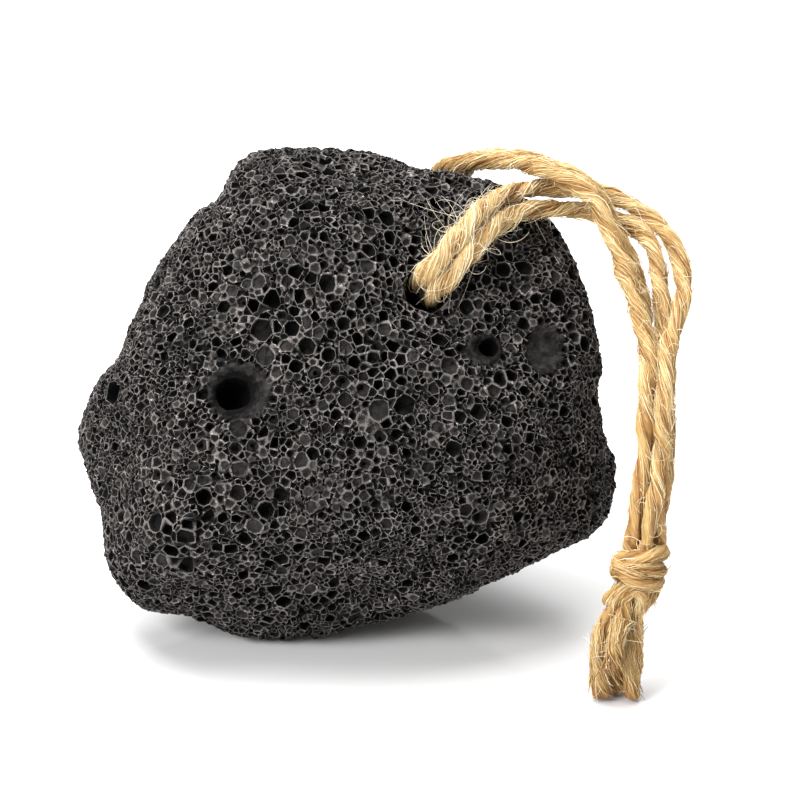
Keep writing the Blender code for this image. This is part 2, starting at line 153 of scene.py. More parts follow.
def path_object(name, line):
    """A line of edges that knows at each point how far along it is and which way is aside."""
    ways = np.gradient(line, axis=0)
    ways /= np.linalg.norm(ways, axis=1)[:, None]
    aside = np.cross(ways[0], STEADY_WAY)
    asides = []
    for way in ways:
        aside = aside - way * (aside @ way)
        aside = aside / np.linalg.norm(aside)
        asides.append(aside)
    along = np.concatenate([[0.0], np.cumsum(steps_of(line))])
    mesh = bpy.data.meshes.new(name)
    mesh.from_pydata(line.tolist(), [(i, i + 1) for i in range(len(line) - 1)], [])
    mesh.attributes.new("along", "FLOAT", "POINT").data.foreach_set("value", along)
    for label, values in (("aside", np.array(asides)), ("way", ways)):
        mesh.attributes.new(label, "FLOAT_VECTOR", "POINT").data.foreach_set("vector", values.ravel())
    path = bpy.data.objects.new(name, mesh)
    scene.collection.objects.link(path)
    return path


class Given:
    """What a node gives. Sums are made with it as with a number, or as with a vector."""

    def __init__(self, nodes, socket):
        self.nodes = nodes
        self.socket = socket

    def __add__(self, other):
        return self.nodes.reckon("ADD", self, other)

    def __sub__(self, other):
        return self.nodes.reckon("SUBTRACT", self, other)

    def __rsub__(self, other):
        return self.nodes.reckon("SUBTRACT", other, self)

    def __mul__(self, other):
        return self.nodes.reckon("MULTIPLY", self, other)

    def __truediv__(self, other):
        return self.nodes.reckon("DIVIDE", self, other)

    def __rtruediv__(self, other):
        return self.nodes.reckon("DIVIDE", other, self)

    def __pow__(self, other):
        return self.nodes.reckon("POWER", self, other)


def is_vector(value):
    return isinstance(value, Given) and value.socket.type == "VECTOR"


class Nodes:
    """A tree of nodes under construction, whose nodes are added and joined by one call."""

    def __init__(self, group):
        self.group = group

    def add(self, kind, settings=None, inputs=None, out=0):
        """A node of this kind with its settings and inputs, by index or name; gives an output."""
        node = self.group.nodes.new(kind)
        for setting, value in (settings or {}).items():
            setattr(node, setting, value)
        for place, value in (inputs or {}).items():
            if isinstance(value, Given):
                self.join(value, node.inputs[place])
            else:
                node.inputs[place].default_value = value
        self.last = node
        return self.given(out)

    def join(self, value, socket):
        self.group.links.new(value.socket, socket)

    def given(self, out):
        """An output, by index or name, of the node that was added last."""
        return Given(self, self.last.outputs[out])

    def reckon(self, operation, *values):
        """A sum of numbers, or of vectors where the first value is one; a number scales a vector."""
        inputs = dict(enumerate(values))
        if not is_vector(values[0]):
            return self.add("ShaderNodeMath", {"operation": operation}, inputs)
        if operation == "MULTIPLY":
            operation = "SCALE"
            inputs = {0: values[0], "Scale": values[1]}
        out = 1 if operation == "LENGTH" else 0
        return self.add("ShaderNodeVectorMath", {"operation": operation}, inputs, out)

    def step(self, value, start, end, low=0.0, high=1.0, kind="SMOOTHSTEP"):
        """Goes from low to high while a value goes from start to end."""
        return self.add("ShaderNodeMapRange", {"interpolation_type": kind}, {
            "Value": value, "From Min": start, "From Max": end, "To Min": low, "To Max": high})

    def cloud(self, dimensions, **inputs):
        """Smooth random shades around a half."""
        inputs = {name.title(): value for name, value in inputs.items()}
        return self.add("ShaderNodeTexNoise", {"noise_dimensions": dimensions}, inputs)

    def vector(self, *parts):
        return self.add("ShaderNodeCombineXYZ", inputs=dict(enumerate(parts)))

    def part(self, vector, number):
        return self.add("ShaderNodeSeparateXYZ", inputs={0: vector}, out=number)


class Growth(Nodes):
    """A Geometry Nodes tree that grows a mesh from a base, with an input for each named size."""

    INPUT_KINDS = {"Material": "NodeSocketMaterial", "Count": "NodeSocketInt", "Seed": "NodeSocketInt"}

    def __init__(self, name, sizes):
        super().__init__(bpy.data.node_groups.new(name, "GeometryNodeTree"))
        face = self.group.interface
        face.new_socket("Geometry", in_out="INPUT", socket_type="NodeSocketGeometry")
        self.sockets = {}
        for size in sizes:
            kind = self.INPUT_KINDS.get(size.split()[-1], "NodeSocketFloat")
            self.sockets[size] = face.new_socket(size, in_out="INPUT", socket_type=kind)
        face.new_socket("Geometry", in_out="OUTPUT", socket_type="NodeSocketGeometry")
        self.entry = self.group.nodes.new("NodeGroupInput")
        self.exit = self.group.nodes.new("NodeGroupOutput")

    def size(self, name):
        return Given(self, self.entry.outputs[name])

    def named(self, name, kind="FLOAT"):
        return self.add("GeometryNodeInputNamedAttribute", {"data_type": kind}, {"Name": name})

    def named_vector(self, name):
        return self.named(name, "FLOAT_VECTOR")

    def random(self, low, high, seed):
        return self.add("FunctionNodeRandomValue", {"data_type": "FLOAT"},
                        {"Min": low, "Max": high, "Seed": seed}, out=1)

    def random_vector(self, reach, seed):
        return self.add("FunctionNodeRandomValue", {"data_type": "FLOAT_VECTOR"},
                        {"Min": (-reach,) * 3, "Max": (reach,) * 3, "Seed": seed})

    def store(self, geometry, name, value, domain="POINT"):
        settings = {"data_type": "FLOAT_VECTOR" if is_vector(value) else "FLOAT", "domain": domain}
        inputs = {"Geometry": geometry, "Name": name, "Value": value}
        return self.add("GeometryNodeStoreNamedAttribute", settings, inputs)

    def moved(self, geometry, position):
        return self.add("GeometryNodeSetPosition", inputs={"Geometry": geometry, "Position": position})

    def lifted_to(self, height, position):
        """A position, or the one this high above the floor where that is higher."""
        return self.reckon("MAXIMUM", position, (-1.0, -1.0, height))

    def finish(self, geometry, material):
        """Ends the tree in real faces with the material that is given to this input."""
        geometry = self.add("GeometryNodeRealizeInstances", inputs={0: geometry})
        geometry = self.add("GeometryNodeSetMaterial",
                            inputs={"Geometry": geometry, "Material": self.size(material)})
        self.join(geometry, self.exit.inputs[0])
        return self


def grown(name, base, tree, values):
    """The plain mesh that a tree makes from a base object, which is then removed."""
    modifier = base.modifiers.new(tree.group.name, "NODES")
    modifier.node_group = tree.group
    for size, value in values.items():
        modifier[tree.sockets[size].identifier] = value
    depsgraph = bpy.context.evaluated_depsgraph_get()
    mesh = bpy.data.meshes.new_from_object(base.evaluated_get(depsgraph))
    mesh.name = name
    bpy.data.objects.remove(base)
    piece = bpy.data.objects.new(name, mesh)
    scene.collection.objects.link(piece)
    return piece


FIBRE_SIDES = 4
TWINE_SIDES = 40
TWINE_FIBRE_BENDS = 17
LOOSE_FIBRE_BENDS = 12
FIBRE_CLEARANCE = 0.00012
STRAY_CLEARANCE = 0.0001
WHOLE_TURN = 2.0 * math.pi

# How far along a strand it is still tight, and how far along it is quite loose beside the hole; and how
# much paler the loose stretch is painted, as painted highlight
LOOSE_STRETCH = (42.0 * MM, 31.0 * MM)
LOOSE_PAINTED_HIGHLIGHT = 1.5

# How uneven the twine's twist and fullness are, and over what lengths they change
UNEVEN_TWIST, TWIST_CHANGE = 0.4, 12.0 * MM
UNEVEN_FULLNESS, FULLNESS_CHANGE = 0.55, 5.0 * MM

# The grain of its face, for relief and for tone: its length along the twine and its fineness
RELIEF_GRAIN = (5.0 * MM, 3.2)
TONE_GRAIN = (7.0 * MM, 4.5)

# What is drawn by lot for each fibre of the twine, and for each loose one, from low to high
TWINE_FIBRE_DRAWS = {
    "start": (0.0, 1.0), "portion": (0.45, 1.0), "first turn": (0.0, WHOLE_TURN), "follow": (0.80, 1.12),
    "sit": (-1.0, 1.0), "thin": (0.40, 1.0), "tone": (0.08, 1.0), "unruly": (0.0, 1.0),
}
LOOSE_FIBRE_DRAWS = {
    "start": (0.0, 1.0), "portion": (0.0, 1.0), "angle": (0.0, WHOLE_TURN), "lean": (-1.5, 1.5),
    "turning": (0.4, 4.2), "thin": (0.6, 1.0), "tone": (0.3, 1.0), "wild x": (-1.0, 1.0),
    "wild y": (-1.0, 1.0), "wild z": (-1.0, 1.0),
}


def fibre_stock(tree, bends, draws):
    """Straight fibres, one for each of Fibre Count, which carry t from 0 to 1 and their own draws."""
    fibre = tree.add("GeometryNodeCurvePrimitiveLine", {"mode": "POINTS"}, {"End": (1.0, 0.0, 0.0)})
    fibre = tree.add("GeometryNodeResampleCurve", {"mode": "COUNT"}, {"Curve": fibre, "Count": bends})
    fibre = tree.store(fibre, "t", tree.add("GeometryNodeSplineParameter"))
    spots = tree.add("GeometryNodePoints", inputs={"Count": tree.size("Fibre Count")})
    for number, (draw, (low_end, high_end)) in enumerate(draws.items()):
        seed = tree.size("Seed") * 20.0 + number
        spots = tree.store(spots, draw, tree.random(low_end, high_end, seed))
    fibres = tree.add("GeometryNodeInstanceOnPoints", inputs={"Points": spots, "Instance": fibre})
    return tree.add("GeometryNodeRealizeInstances", inputs={0: fibres})


def spun(tree, fibres, thickness):
    """The fibres' round bodies."""
    section = tree.add("GeometryNodeCurvePrimitiveCircle", {"mode": "RADIUS"},
                       {"Resolution": FIBRE_SIDES, "Radius": 1.0})
    return tree.add("GeometryNodeCurveToMesh", inputs={
        "Curve": fibres, "Profile Curve": section, "Scale": thickness, "Fill Caps": True})


def spots_along(tree, path, along):
    """A path's middle, aside and way at these distances along it."""
    middle = tree.add("GeometryNodeSampleCurve", {"mode": "LENGTH", "data_type": "FLOAT_VECTOR"},
                      {"Curves": path, "Value": tree.named_vector("aside"), "Length": along}, "Position")
    return middle, tree.given("Value"), tree.given("Tangent")


def outward(tree, aside, way, angle):
    """The way out of a twine's middle at an angle from aside."""
    across = tree.reckon("CROSS_PRODUCT", way, aside)
    return aside * tree.reckon("COSINE", angle) + across * tree.reckon("SINE", angle)


def two_ply_twine():
    """Lays two plies round a path, and jute fibres along them that rise from them here and there."""
    tree = Growth("two-ply twine", [
        "Ply Radius", "Ply Offset", "Lay", "Phase", "Relief", "Fibre Count", "Fibre Length", "Fibre Radius",
        "Lift", "Stray", "Past End", "Flare", "Swell", "End Shade", "Seed", "Jute Material"])
    path = tree.add("GeometryNodeMeshToCurve", inputs={0: tree.size("Geometry")})
    path = tree.store(path, "place", tree.add("GeometryNodeInputPosition"))
    total = tree.add("GeometryNodeCurveLength", inputs={0: path})
    ply = tree.size("Ply Radius")
    offset = tree.size("Ply Offset")
    seed = tree.size("Seed") * 3.7

    def drift(along, spread, shift):
        """A slow change along the twine, from -0.5 to 0.5."""
        return tree.cloud("1D", w=along / spread + (seed + shift), scale=1.0) - 0.5

    def twist(along):
        turns = drift(along, TWIST_CHANGE, 0.0) * UNEVEN_TWIST + along / tree.size("Lay")
        return turns * -WHOLE_TURN + tree.size("Phase")

    def looseness(along):
        """How far the twine has opened beside the hole, where it also gets a painted highlight."""
        return tree.step(along, *LOOSE_STRETCH) * tree.size("Swell")

    def fullness(along):
        """How much fatter than usual the twine is here: loose near the hole, flared at a cut end."""
        swollen = drift(along, FULLNESS_CHANGE, 50.0) * UNEVEN_FULLNESS + 1.0
        return (along / total) ** 3.0 * tree.size("Flare") + (looseness(along) + swollen)

    def envelope(turn):
        """How far the two plies reach from the twine's middle at this angle from the first ply."""
        across = offset * tree.reckon("SINE", turn)
        beside = tree.reckon("ABSOLUTE", tree.reckon("COSINE", turn))
        return offset * beside + tree.reckon("SQRT", ply * ply - across * across)

    def on_helix(turn, along, stretch, scale, seed):
        """A shade that changes quickly round the twine and slowly along it."""
        where = tree.vector(tree.reckon("COSINE", turn), tree.reckon("SINE", turn), along / stretch)
        return tree.cloud("4D", vector=where, w=seed, scale=scale, detail=2.0)

    crease = tree.reckon("SQRT", ply ** 2.0 - offset ** 2.0)

    def painted_lightness_of(reach, along, less):
        """Painted light: how far a surface stands out of the crease between the plies, with painted shade
        in the crease; a cut end gets painted shade as dark, and the opened stretch a painted highlight.
        """
        above = (reach - crease) / (offset * 1.4)
        cut_end_painted_shade = tree.reckon("MINIMUM", along / total, 1.0) ** 7.0
        return above - (looseness(along) * -LOOSE_PAINTED_HIGHLIGHT + (cut_end_painted_shade * tree.size("End Shade") + less))

    ring = tree.add("GeometryNodeCurvePrimitiveCircle", {"mode": "RADIUS"},
                    {"Resolution": TWINE_SIDES, "Radius": MM})
    ring = tree.store(ring, "turn", tree.add("GeometryNodeSplineParameter") * WHOLE_TURN)
    body = tree.add("GeometryNodeCurveToMesh",
                    inputs={"Curve": path, "Profile Curve": ring, "Fill Caps": True})
    turn = tree.named("turn")
    along = tree.named("along")
    relief = (on_helix(turn, along, *RELIEF_GRAIN, seed) - 0.5) * tree.size("Relief")
    reach = envelope(turn) * fullness(along) + relief
    out = outward(tree, tree.named_vector("aside"), tree.named_vector("way"), turn + twist(along))
    body = tree.moved(body, tree.named_vector("place") + out * reach)
    body = tree.store(body, "tone", on_helix(turn, along, *TONE_GRAIN, seed + 9.0))
    # The body lies under its fibres, so it gets more painted shade than they do.
    body = tree.store(body, "painted_lightness", painted_lightness_of(envelope(turn) + relief, along, 0.5))

    fibres = fibre_stock(tree, TWINE_FIBRE_BENDS, TWINE_FIBRE_DRAWS)
    t = tree.named("t")

    def wave(draw, apart, waves):
        """A bend along a fibre, from -0.5 to 0.5, which is another for each fibre."""
        where = tree.vector(tree.named(draw) * apart, t * waves)
        return tree.cloud("2D", vector=where, scale=1.0, detail=1.0) - 0.5

    span = tree.size("Fibre Length") * tree.named("portion")
    room = total - span + tree.size("Past End")
    along = tree.named("start") * room + t * span
    middle, aside, way = spots_along(tree, path, along)
    past_end = tree.reckon("MAXIMUM", along - total, 0.0)
    wander = wave("start", 913.0, 2.6) * 1.2
    rise = tree.reckon("MAXIMUM", wave("tone", 577.0, 3.2), 0.0)
    angle = tree.named("first turn") + twist(along) * tree.named("follow") + wander
    turn = angle - twist(along)
    middle_share = t * (1.0 - t) * 4.0
    near_end = tree.reckon("ABSOLUTE", t * 2.0 - 1.0)
    near_end = tree.reckon("MAXIMUM", (near_end - 0.35) * 1.54, 0.0)
    unruly = tree.named("unruly") ** 4.0 * tree.size("Stray")
    lifted = rise * (tree.size("Lift") * 2.0) + near_end ** 1.6 * unruly
    sunk = tree.named("sit") * (tree.size("Fibre Radius") * 0.5)
    reach = envelope(turn) * fullness(along) + sunk + lifted
    place = middle + way * past_end + outward(tree, aside, way, angle) * reach
    # A fibre that rises off the twine is painted paler, as painted highlight.
    fibres = tree.store(fibres, "painted_lightness", painted_lightness_of(envelope(turn) + sunk + lifted * 0.4, along, 0.0))
    fibres = tree.moved(fibres, tree.lifted_to(FIBRE_CLEARANCE, place))
    tapered = tree.reckon("MINIMUM", middle_share * 1.6 + 0.25, 1.0)
    fibres = spun(tree, fibres, tree.size("Fibre Radius") * tree.named("thin") * tapered)
    both = tree.add("GeometryNodeJoinGeometry", inputs={0: body})
    tree.join(fibres, tree.last.inputs[0])
    both = tree.add("GeometryNodeSetShadeSmooth", inputs={"Geometry": both})
    return tree.finish(both, "Jute Material")


def loose_fibres():
    """Single fibres that have worked free of a twine and curl away from it in arcs."""
    tree = Growth("loose fibres", ["Fibre Count", "Shortest", "Longest", "Fibre Radius", "Curl", "Root",
                                   "Seed", "Jute Material"])
    path = tree.add("GeometryNodeMeshToCurve", inputs={0: tree.size("Geometry")})
    total = tree.add("GeometryNodeCurveLength", inputs={0: path})
    fibres = fibre_stock(tree, LOOSE_FIBRE_BENDS, LOOSE_FIBRE_DRAWS)
    middle, aside, way = spots_along(tree, path, tree.named("start") * total)
    out = outward(tree, aside, way, tree.named("angle"))
    first = tree.reckon("NORMALIZE", out + way * tree.named("lean"))
    wild = tree.vector(tree.named("wild x"), tree.named("wild y"), tree.named("wild z"))
    inward = tree.reckon("NORMALIZE", tree.reckon("CROSS_PRODUCT", first, wild))
    shortest = tree.size("Shortest")
    length = tree.named("portion") ** 2.5 * (tree.size("Longest") - shortest) + shortest
    turning = tree.named("turning") * tree.size("Curl")
    radius = length / turning
    t = tree.named("t")
    forth = radius * tree.reckon("SINE", t * turning)
    sideways = radius * (1.0 - tree.reckon("COSINE", t * turning))
    place = middle + out * tree.size("Root") + first * forth + inward * sideways
    # Loose fibres are painted at their palest, with none of the painted crease shade.
    fibres = tree.store(fibres, "painted_lightness", 2.5)
    fibres = tree.moved(fibres, tree.lifted_to(STRAY_CLEARANCE, place))
    fibres = spun(tree, fibres, tree.size("Fibre Radius") * tree.named("thin") * (t * -0.6 + 1.0))
    fibres = tree.add("GeometryNodeSetShadeSmooth", inputs={"Geometry": fibres})
    return tree.finish(fibres, "Jute Material")


def plain_finish(name, roughness, gloss):
    """A new material with its roughness and gloss, and the shader whose colour is still to come."""
    material = bpy.data.materials.new(name)
    material.use_nodes = True
    shader = material.node_tree.nodes["Principled BSDF"]
    shader.inputs["Roughness"].default_value = roughness
    shader.inputs["Specular IOR Level"].default_value = gloss
    return material, shader


# The jute's colours from darkest to palest, between which the painted light and shade choose.
JUTE_SHADES = {
    0.0: (0.14, 0.052, 0.012), 0.25: (0.33, 0.165, 0.050), 0.47: (0.55, 0.355, 0.135),
    0.68: (0.71, 0.53, 0.26), 0.85: (0.82, 0.69, 0.41), 1.0: (0.88, 0.81, 0.65),
}


def jute_finish():
    """Golden jute, dull and dry, with painted light: paler where a fibre stands out, and browner in the
    creases and at cut ends as painted shade.
    """
    jute, shader = plain_finish("jute", roughness=0.62, gloss=0.35)
    nodes = Nodes(jute.node_tree)
    tone = nodes.add("ShaderNodeAttribute", {"attribute_name": "tone"}, out="Fac")
    painted_lightness = nodes.add("ShaderNodeAttribute", {"attribute_name": "painted_lightness"}, out="Fac")
    # Painted light and shade, mixed with the jute's own random tone.
    colour = nodes.add("ShaderNodeValToRGB", inputs={0: painted_lightness * 0.26 + tone * 0.66})
    shades = nodes.last.color_ramp.elements
    darkest, *between, palest = JUTE_SHADES.items()
    for shade, (position, colour_there) in zip(shades, (darkest, palest)):
        shade.position = position
        shade.color = (*colour_there, 1.0)
    for position, colour_there in between:
        shades.new(position).color = (*colour_there, 1.0)
    nodes.join(colour, shader.inputs["Base Color"])
    return jute


jute = jute_finish()
laid_up = two_ply_twine()
TWINE = {
    "Ply Radius": PLY_RADIUS, "Ply Offset": PLY_OFFSET, "Lay": LAY, "Relief": 0.40 * MM, "Fibre Count": 540,
    "Fibre Length": 26.0 * MM, "Fibre Radius": 0.08 * MM, "Lift": 0.7 * MM, "Stray": 1.2 * MM,
    "Past End": 0.0, "Flare": 0.0, "Swell": 0.0, "End Shade": 0.0, "Jute Material": jute,
}
# The front strands open beside the hole, where they are also painted paler, as painted highlight.
FRONT_SWELL = 0.26
paths = {}
strands = {}
for number, (strand, route) in enumerate(STRANDS.items()):
    paths[strand] = smooth_line(route + gathered_line(*CORNERS[strand]))
    strands[strand] = grown("twine_" + strand, path_object(strand, paths[strand]), laid_up, TWINE | {
        "Phase": 1.1 * number, "Swell": FRONT_SWELL if "front" in strand else 0.0, "Seed": number + 1})


# The knot. All four strands are tied together in one overhand knot, so turns of the same twine lie
# side by side and across each other round a tight core.
KNOT_LINE = [(46.2, -31.37, 24.5), (45.7, -31.7, 22.4), (45.2, -32.0, 20.6), (44.6, -32.4, 18.6),
             (43.9, -32.8, 16.6), (43.1, -33.1, 14.8)]

# The rings of its core, as height and reach
CORE = [(23.4, 1.0), (22.6, 2.2), (21.2, 2.6), (19.0, 2.6), (16.6, 2.2), (15.0, 1.4)]
CORE_SIDES = 24

# How high inside the knot the strands end and the tails begin, and how near its middle
STRANDS_INSIDE, TAILS_INSIDE = 20.0, 18.0
NEAR_MIDDLE = 0.6

# Each turn of twine as its angle from the right through the front, its height and its reach
KNOT_TURNS = [
    [(185, 21.0, 3.2), (160, 22.4, 3.2), (125, 23.2, 3.1), (90, 23.7, 3.1), (55, 23.8, 3.1),
     (20, 23.5, 3.1), (-15, 22.9, 3.1), (-50, 22.3, 3.1), (-85, 21.8, 3.1), (-120, 21.4, 3.2),
     (-150, 20.8, 3.2), (-178, 20.2, 3.0)],
    [(150, 21.6, 2.6), (120, 22.0, 3.2), (90, 22.1, 3.4), (55, 21.6, 3.5), (20, 20.9, 3.4),
     (-15, 20.3, 3.3), (-50, 19.8, 3.1), (-85, 19.6, 2.9)],
    [(200, 22.0, 2.6), (172, 21.7, 3.2), (140, 21.3, 3.6), (110, 20.7, 3.8), (80, 20.0, 3.8),
     (50, 19.4, 3.7), (15, 18.9, 3.4), (-20, 18.4, 3.1), (-60, 18.2, 2.7)],
    [(250, 16.4, 2.2), (220, 15.7, 2.3), (190, 15.5, 2.4), (160, 16.2, 2.9), (132, 17.6, 3.4),
     (108, 19.0, 2.9)],
    [(-160, 20.0, 2.9), (-130, 18.6, 3.0), (-95, 17.6, 3.0), (-60, 16.8, 2.9), (-25, 16.2, 2.6)],
    [(135, 15.6, 2.6), (122, 17.2, 3.2), (105, 18.5, 3.4), (88, 18.9, 3.4), (70, 18.1, 3.3),
     (55, 16.6, 2.9), (48, 15.2, 2.5)],
    [(-30, 19.4, 2.9), (0, 18.2, 3.3), (18, 17.0, 3.2), (32, 15.8, 2.9), (42, 14.4, 2.5)],
]
TAILS = {
    "tail_left": [(41.2, -34.0, 13.9), (40.3, -34.5, 12.4), (39.5, -35.1, 10.0), (39.0, -35.6, 7.0),
                  (39.4, -35.9, 3.6), (40.0, -36.0, 0.8)],
    "tail_right": [(45.0, -33.1, 14.0), (44.8, -34.0, 12.0), (44.7, -35.0, 8.6), (44.6, -35.6, 4.8),
                   (44.5, -35.8, 0.7)],
    "tail_back": [(43.1, -31.1, 14.2), (42.8, -32.0, 10.8), (42.6, -32.8, 7.2), (42.4, -33.3, 3.6),
                  (42.3, -33.5, 0.6)],
    "tail_middle": [(42.6, -36.4, 14.2), (42.1, -37.1, 12.6), (41.7, -37.6, 10.6), (41.5, -37.8, 8.6)],
}


def knot_middle(height):
    line = np.array(KNOT_LINE)[::-1]
    return np.array([np.interp(height, line[:, 2], line[:, axis]) for axis in range(3)])


def joined(name, parts):
    """One piece made of the meshes of several."""
    with bpy.context.temp_override(active_object=parts[0], selected_editable_objects=parts):
        bpy.ops.object.join()
    parts[0].name = name
    parts[0].data.name = name
    return parts[0]


def knot_core():
    """The tight middle of the knot, which its turns hide: rings of points round its bent line."""
    points = []
    for height, reach in CORE:
        middle = knot_middle(height)
        for side in range(CORE_SIDES):
            angle = WHOLE_TURN * side / CORE_SIDES
            points.append(middle + reach * np.array([math.cos(angle), math.sin(angle), 0.0]))
    faces = []
    for level in range(len(CORE) - 1):
        low, high = level * CORE_SIDES, (level + 1) * CORE_SIDES
        for side in range(CORE_SIDES):
            after = (side + 1) % CORE_SIDES
            faces.append((low + side, high + side, high + after, low + after))
    faces.append(tuple(range(CORE_SIDES)))
    faces.append(tuple(len(points) - 1 - side for side in range(CORE_SIDES)))
    mesh = bpy.data.meshes.new("knot core")
    mesh.from_pydata((np.array(points) * MM).tolist(), [], faces)
    mesh.materials.append(jute)
    # The hidden core takes the darkest jute colour, as painted shade deep in the knot.
    mesh.attributes.new("tone", "FLOAT", "POINT")
    mesh.attributes.new("painted_lightness", "FLOAT", "POINT")
    core = bpy.data.objects.new("knot core", mesh)
    scene.collection.objects.link(core)
    return core


turns = [knot_core()]
ends = [(line[-2] / MM, line[-1] - line[-4], STRANDS_INSIDE) for line in paths.values()]
ends += [(line[1] / MM, line[0] - line[3], TAILS_INSIDE) for line in map(smooth_line, TAILS.values())]
for number, (start, into, height) in enumerate(ends):
    inside = knot_middle(height) * NEAR_MIDDLE + start * (1.0 - NEAR_MIDDLE)
    inside[2] = height
    way_in = smooth_line([start, start + into / MM, inside])
    turns.append(grown("turn", path_object("turn", way_in), laid_up, TWINE | {
        "Ply Radius": PLY_RADIUS * 0.96, "Ply Offset": PLY_OFFSET * 0.8, "Phase": 0.5, "Relief": 0.2 * MM,
        "Fibre Count": 24, "Fibre Length": 6.0 * MM, "Lift": 0.5 * MM, "Stray": 0.8 * MM,
        "Seed": 50 + number}))
for number, turn in enumerate(KNOT_TURNS):
    corners = []
    for angle, height, reach in turn:
        angle = math.radians(angle)
        middle = knot_middle(height)
        corners.append((middle[0] + reach * math.cos(angle), middle[1] - reach * math.sin(angle), height))
    turns.append(grown("turn", path_object("turn", smooth_line(corners)), laid_up, TWINE | {
        "Ply Radius": PLY_RADIUS * 0.92, "Ply Offset": PLY_OFFSET * 0.8, "Phase": 0.9 * number,
        "Relief": 0.3 * MM, "Fibre Count": 95, "Fibre Length": 12.0 * MM, "Lift": 0.5 * MM,
        "Seed": 40 + number}))
knot = joined("twine_knot", turns)
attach(knot, "root")
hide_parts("knot")


# The cut tails. Below the knot the twine's four ends are cut off short, and their plies open into
# brushes of loose fibre. One was cut shorter than the others.
# Each tail is painted darker towards its cut end, as painted shade.
for number, (tail, route) in enumerate(TAILS.items()):
    piece = grown("twine_" + tail, path_object(tail, smooth_line(route)), laid_up, TWINE | {
        "Ply Radius": PLY_RADIUS * 0.97, "Lay": LAY * 1.8, "Phase": 0.7 * number, "Relief": 0.35 * MM,
        "Fibre Count": 150, "Fibre Length": 12.0 * MM, "Lift": 0.6 * MM, "Stray": 1.3 * MM,
        "Past End": 0.4 * MM, "Flare": 0.20, "End Shade": 1.0, "Seed": 60 + number})
    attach(piece, "root")
    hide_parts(tail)


# The loose fibres. Single fibres have worked free all along the twine and curl away from it, most
# of all where the two front strands come out of the hole.
WOOLLY_STRETCH = slice(45, 110)

# How many there are, the shortest and longest, their radius and curl, and how far out they start
STRAY_SIZES = ("Fibre Count", "Shortest", "Longest", "Fibre Radius", "Curl", "Root")
ON_STRAND = (170, 1.6 * MM, 7.0 * MM, 0.045 * MM, 1.1, 1.05 * MM)
WHERE_WOOLLY = (80, 2.5 * MM, 12.0 * MM, 0.045 * MM, 1.6, 1.25 * MM)
ON_TAIL = (22, 0.8 * MM, 6.0 * MM, 0.05 * MM, 1.0, 0.7 * MM)

work_free = loose_fibres()


def strays_on(line, sizes, seed):
    values = dict(zip(STRAY_SIZES, sizes)) | {"Seed": seed, "Jute Material": jute}
    return grown("strays", path_object("strays", line), work_free, values)


strays = []
for number, (strand, line) in enumerate(paths.items()):
    strays.append(strays_on(line, ON_STRAND, 80 + number))
    if "front" in strand:
        strays.append(strays_on(line[WOOLLY_STRETCH], WHERE_WOOLLY, 84 + number))
for number, route in enumerate(TAILS.values()):
    strays.append(strays_on(smooth_line(route), ON_TAIL, 90 + number))
loose = joined("twine_loose_fibres", strays)
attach(loose, "root")

# Each strand is attached to the root, and its part from model.glb is hidden
for strand, piece in strands.items():
    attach(piece, "root")
    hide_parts(strand)
    line = paths[strand]


# The rock. One piece of black basalt lava, full of gas bubbles that its broken faces cut open, so
# that thin walls stand between round pits. It stands on a small flat base that wear has ground,
# and its broad face leans back. Directions on it are right, up and front, in millimetres.
LEAN = math.radians(22.0)
HEART = np.array([0.55, -0.05, 36.3])
FRONT_REACH, BACK_REACH = 27.0, 30.0
FRONT_ROUNDNESS, BACK_ROUNDNESS = 2.4, 2.9
EDGE_SHARPNESS = 24.0
LUMP_SIZE, LUMP_HEIGHT = 17.0, 1.1
CALM_RIM = 0.35
RIPPLE_SIZE, RIPPLE_HEIGHT = 6.5, 0.45
RIPPLE_SHIFT = Vector((40.0, 0.0, 0.0))
GRIT_SIZE, GRIT_HEIGHT = 2.3, 0.42

# Its outline seen square to the broad face, as right, up
OUTLINE = [
    (-7.8, 42.0), (0.8, 40.7), (6.5, 39.2), (10.6, 36.6), (14.9, 37.0), (20.5, 35.0), (25.0, 33.6),
    (28.8, 31.2), (32.3, 28.2), (35.4, 23.5), (37.3, 18.6), (38.6, 14.6), (39.7, 9.8), (40.5, 4.8),
    (39.7, -0.3), (41.0, -7.4), (42.6, -9.9), (43.9, -14.1), (43.4, -18.3), (39.6, -22.8),
    (34.0, -24.4), (27.4, -27.8), (22.6, -29.7), (17.4, -32.5), (8.0, -35.5), (-1.6, -37.8),
    (-10.6, -39.2), (-18.9, -38.6), (-22.8, -35.9), (-28.7, -34.8), (-33.6, -34.4), (-36.3, -31.5),
    (-39.2, -26.7), (-39.4, -18.7), (-41.8, -14.6), (-43.4, -9.9), (-44.1, -6.8), (-43.0, -2.2),
    (-41.7, 0.8), (-36.9, 5.3), (-35.7, 9.8), (-33.3, 14.1), (-30.2, 21.3), (-27.4, 25.0),
    (-24.0, 29.6), (-20.2, 31.2), (-19.2, 35.2), (-16.2, 38.5), (-11.5, 41.3),
]
OUTLINE_SOFTENING = (-0.04, -0.015, 0.015, 0.04)

# Its broken faces: the way each looks and its distance from the heart
FACES = [
    ((-0.05, 0.05, 1.00), 25.2), ((0.38, 0.42, 0.82), 28.0), ((-0.45, 0.38, 0.81), 29.5),
    ((-0.80, 0.02, 0.60), 36.0), ((-0.05, -0.72, 0.69), 32.0), ((0.78, -0.15, 0.60), 37.5),
    ((0.10, 0.85, 0.52), 34.5), ((0.12, 0.22, -0.97), 27.0), ((-0.42, -0.30, -0.86), 26.5),
    ((0.48, -0.38, -0.80), 28.5), ((-0.68, 0.20, -0.70), 32.5), ((0.70, 0.10, -0.70), 31.5),
    ((0.00, 0.80, -0.60), 33.5),
]

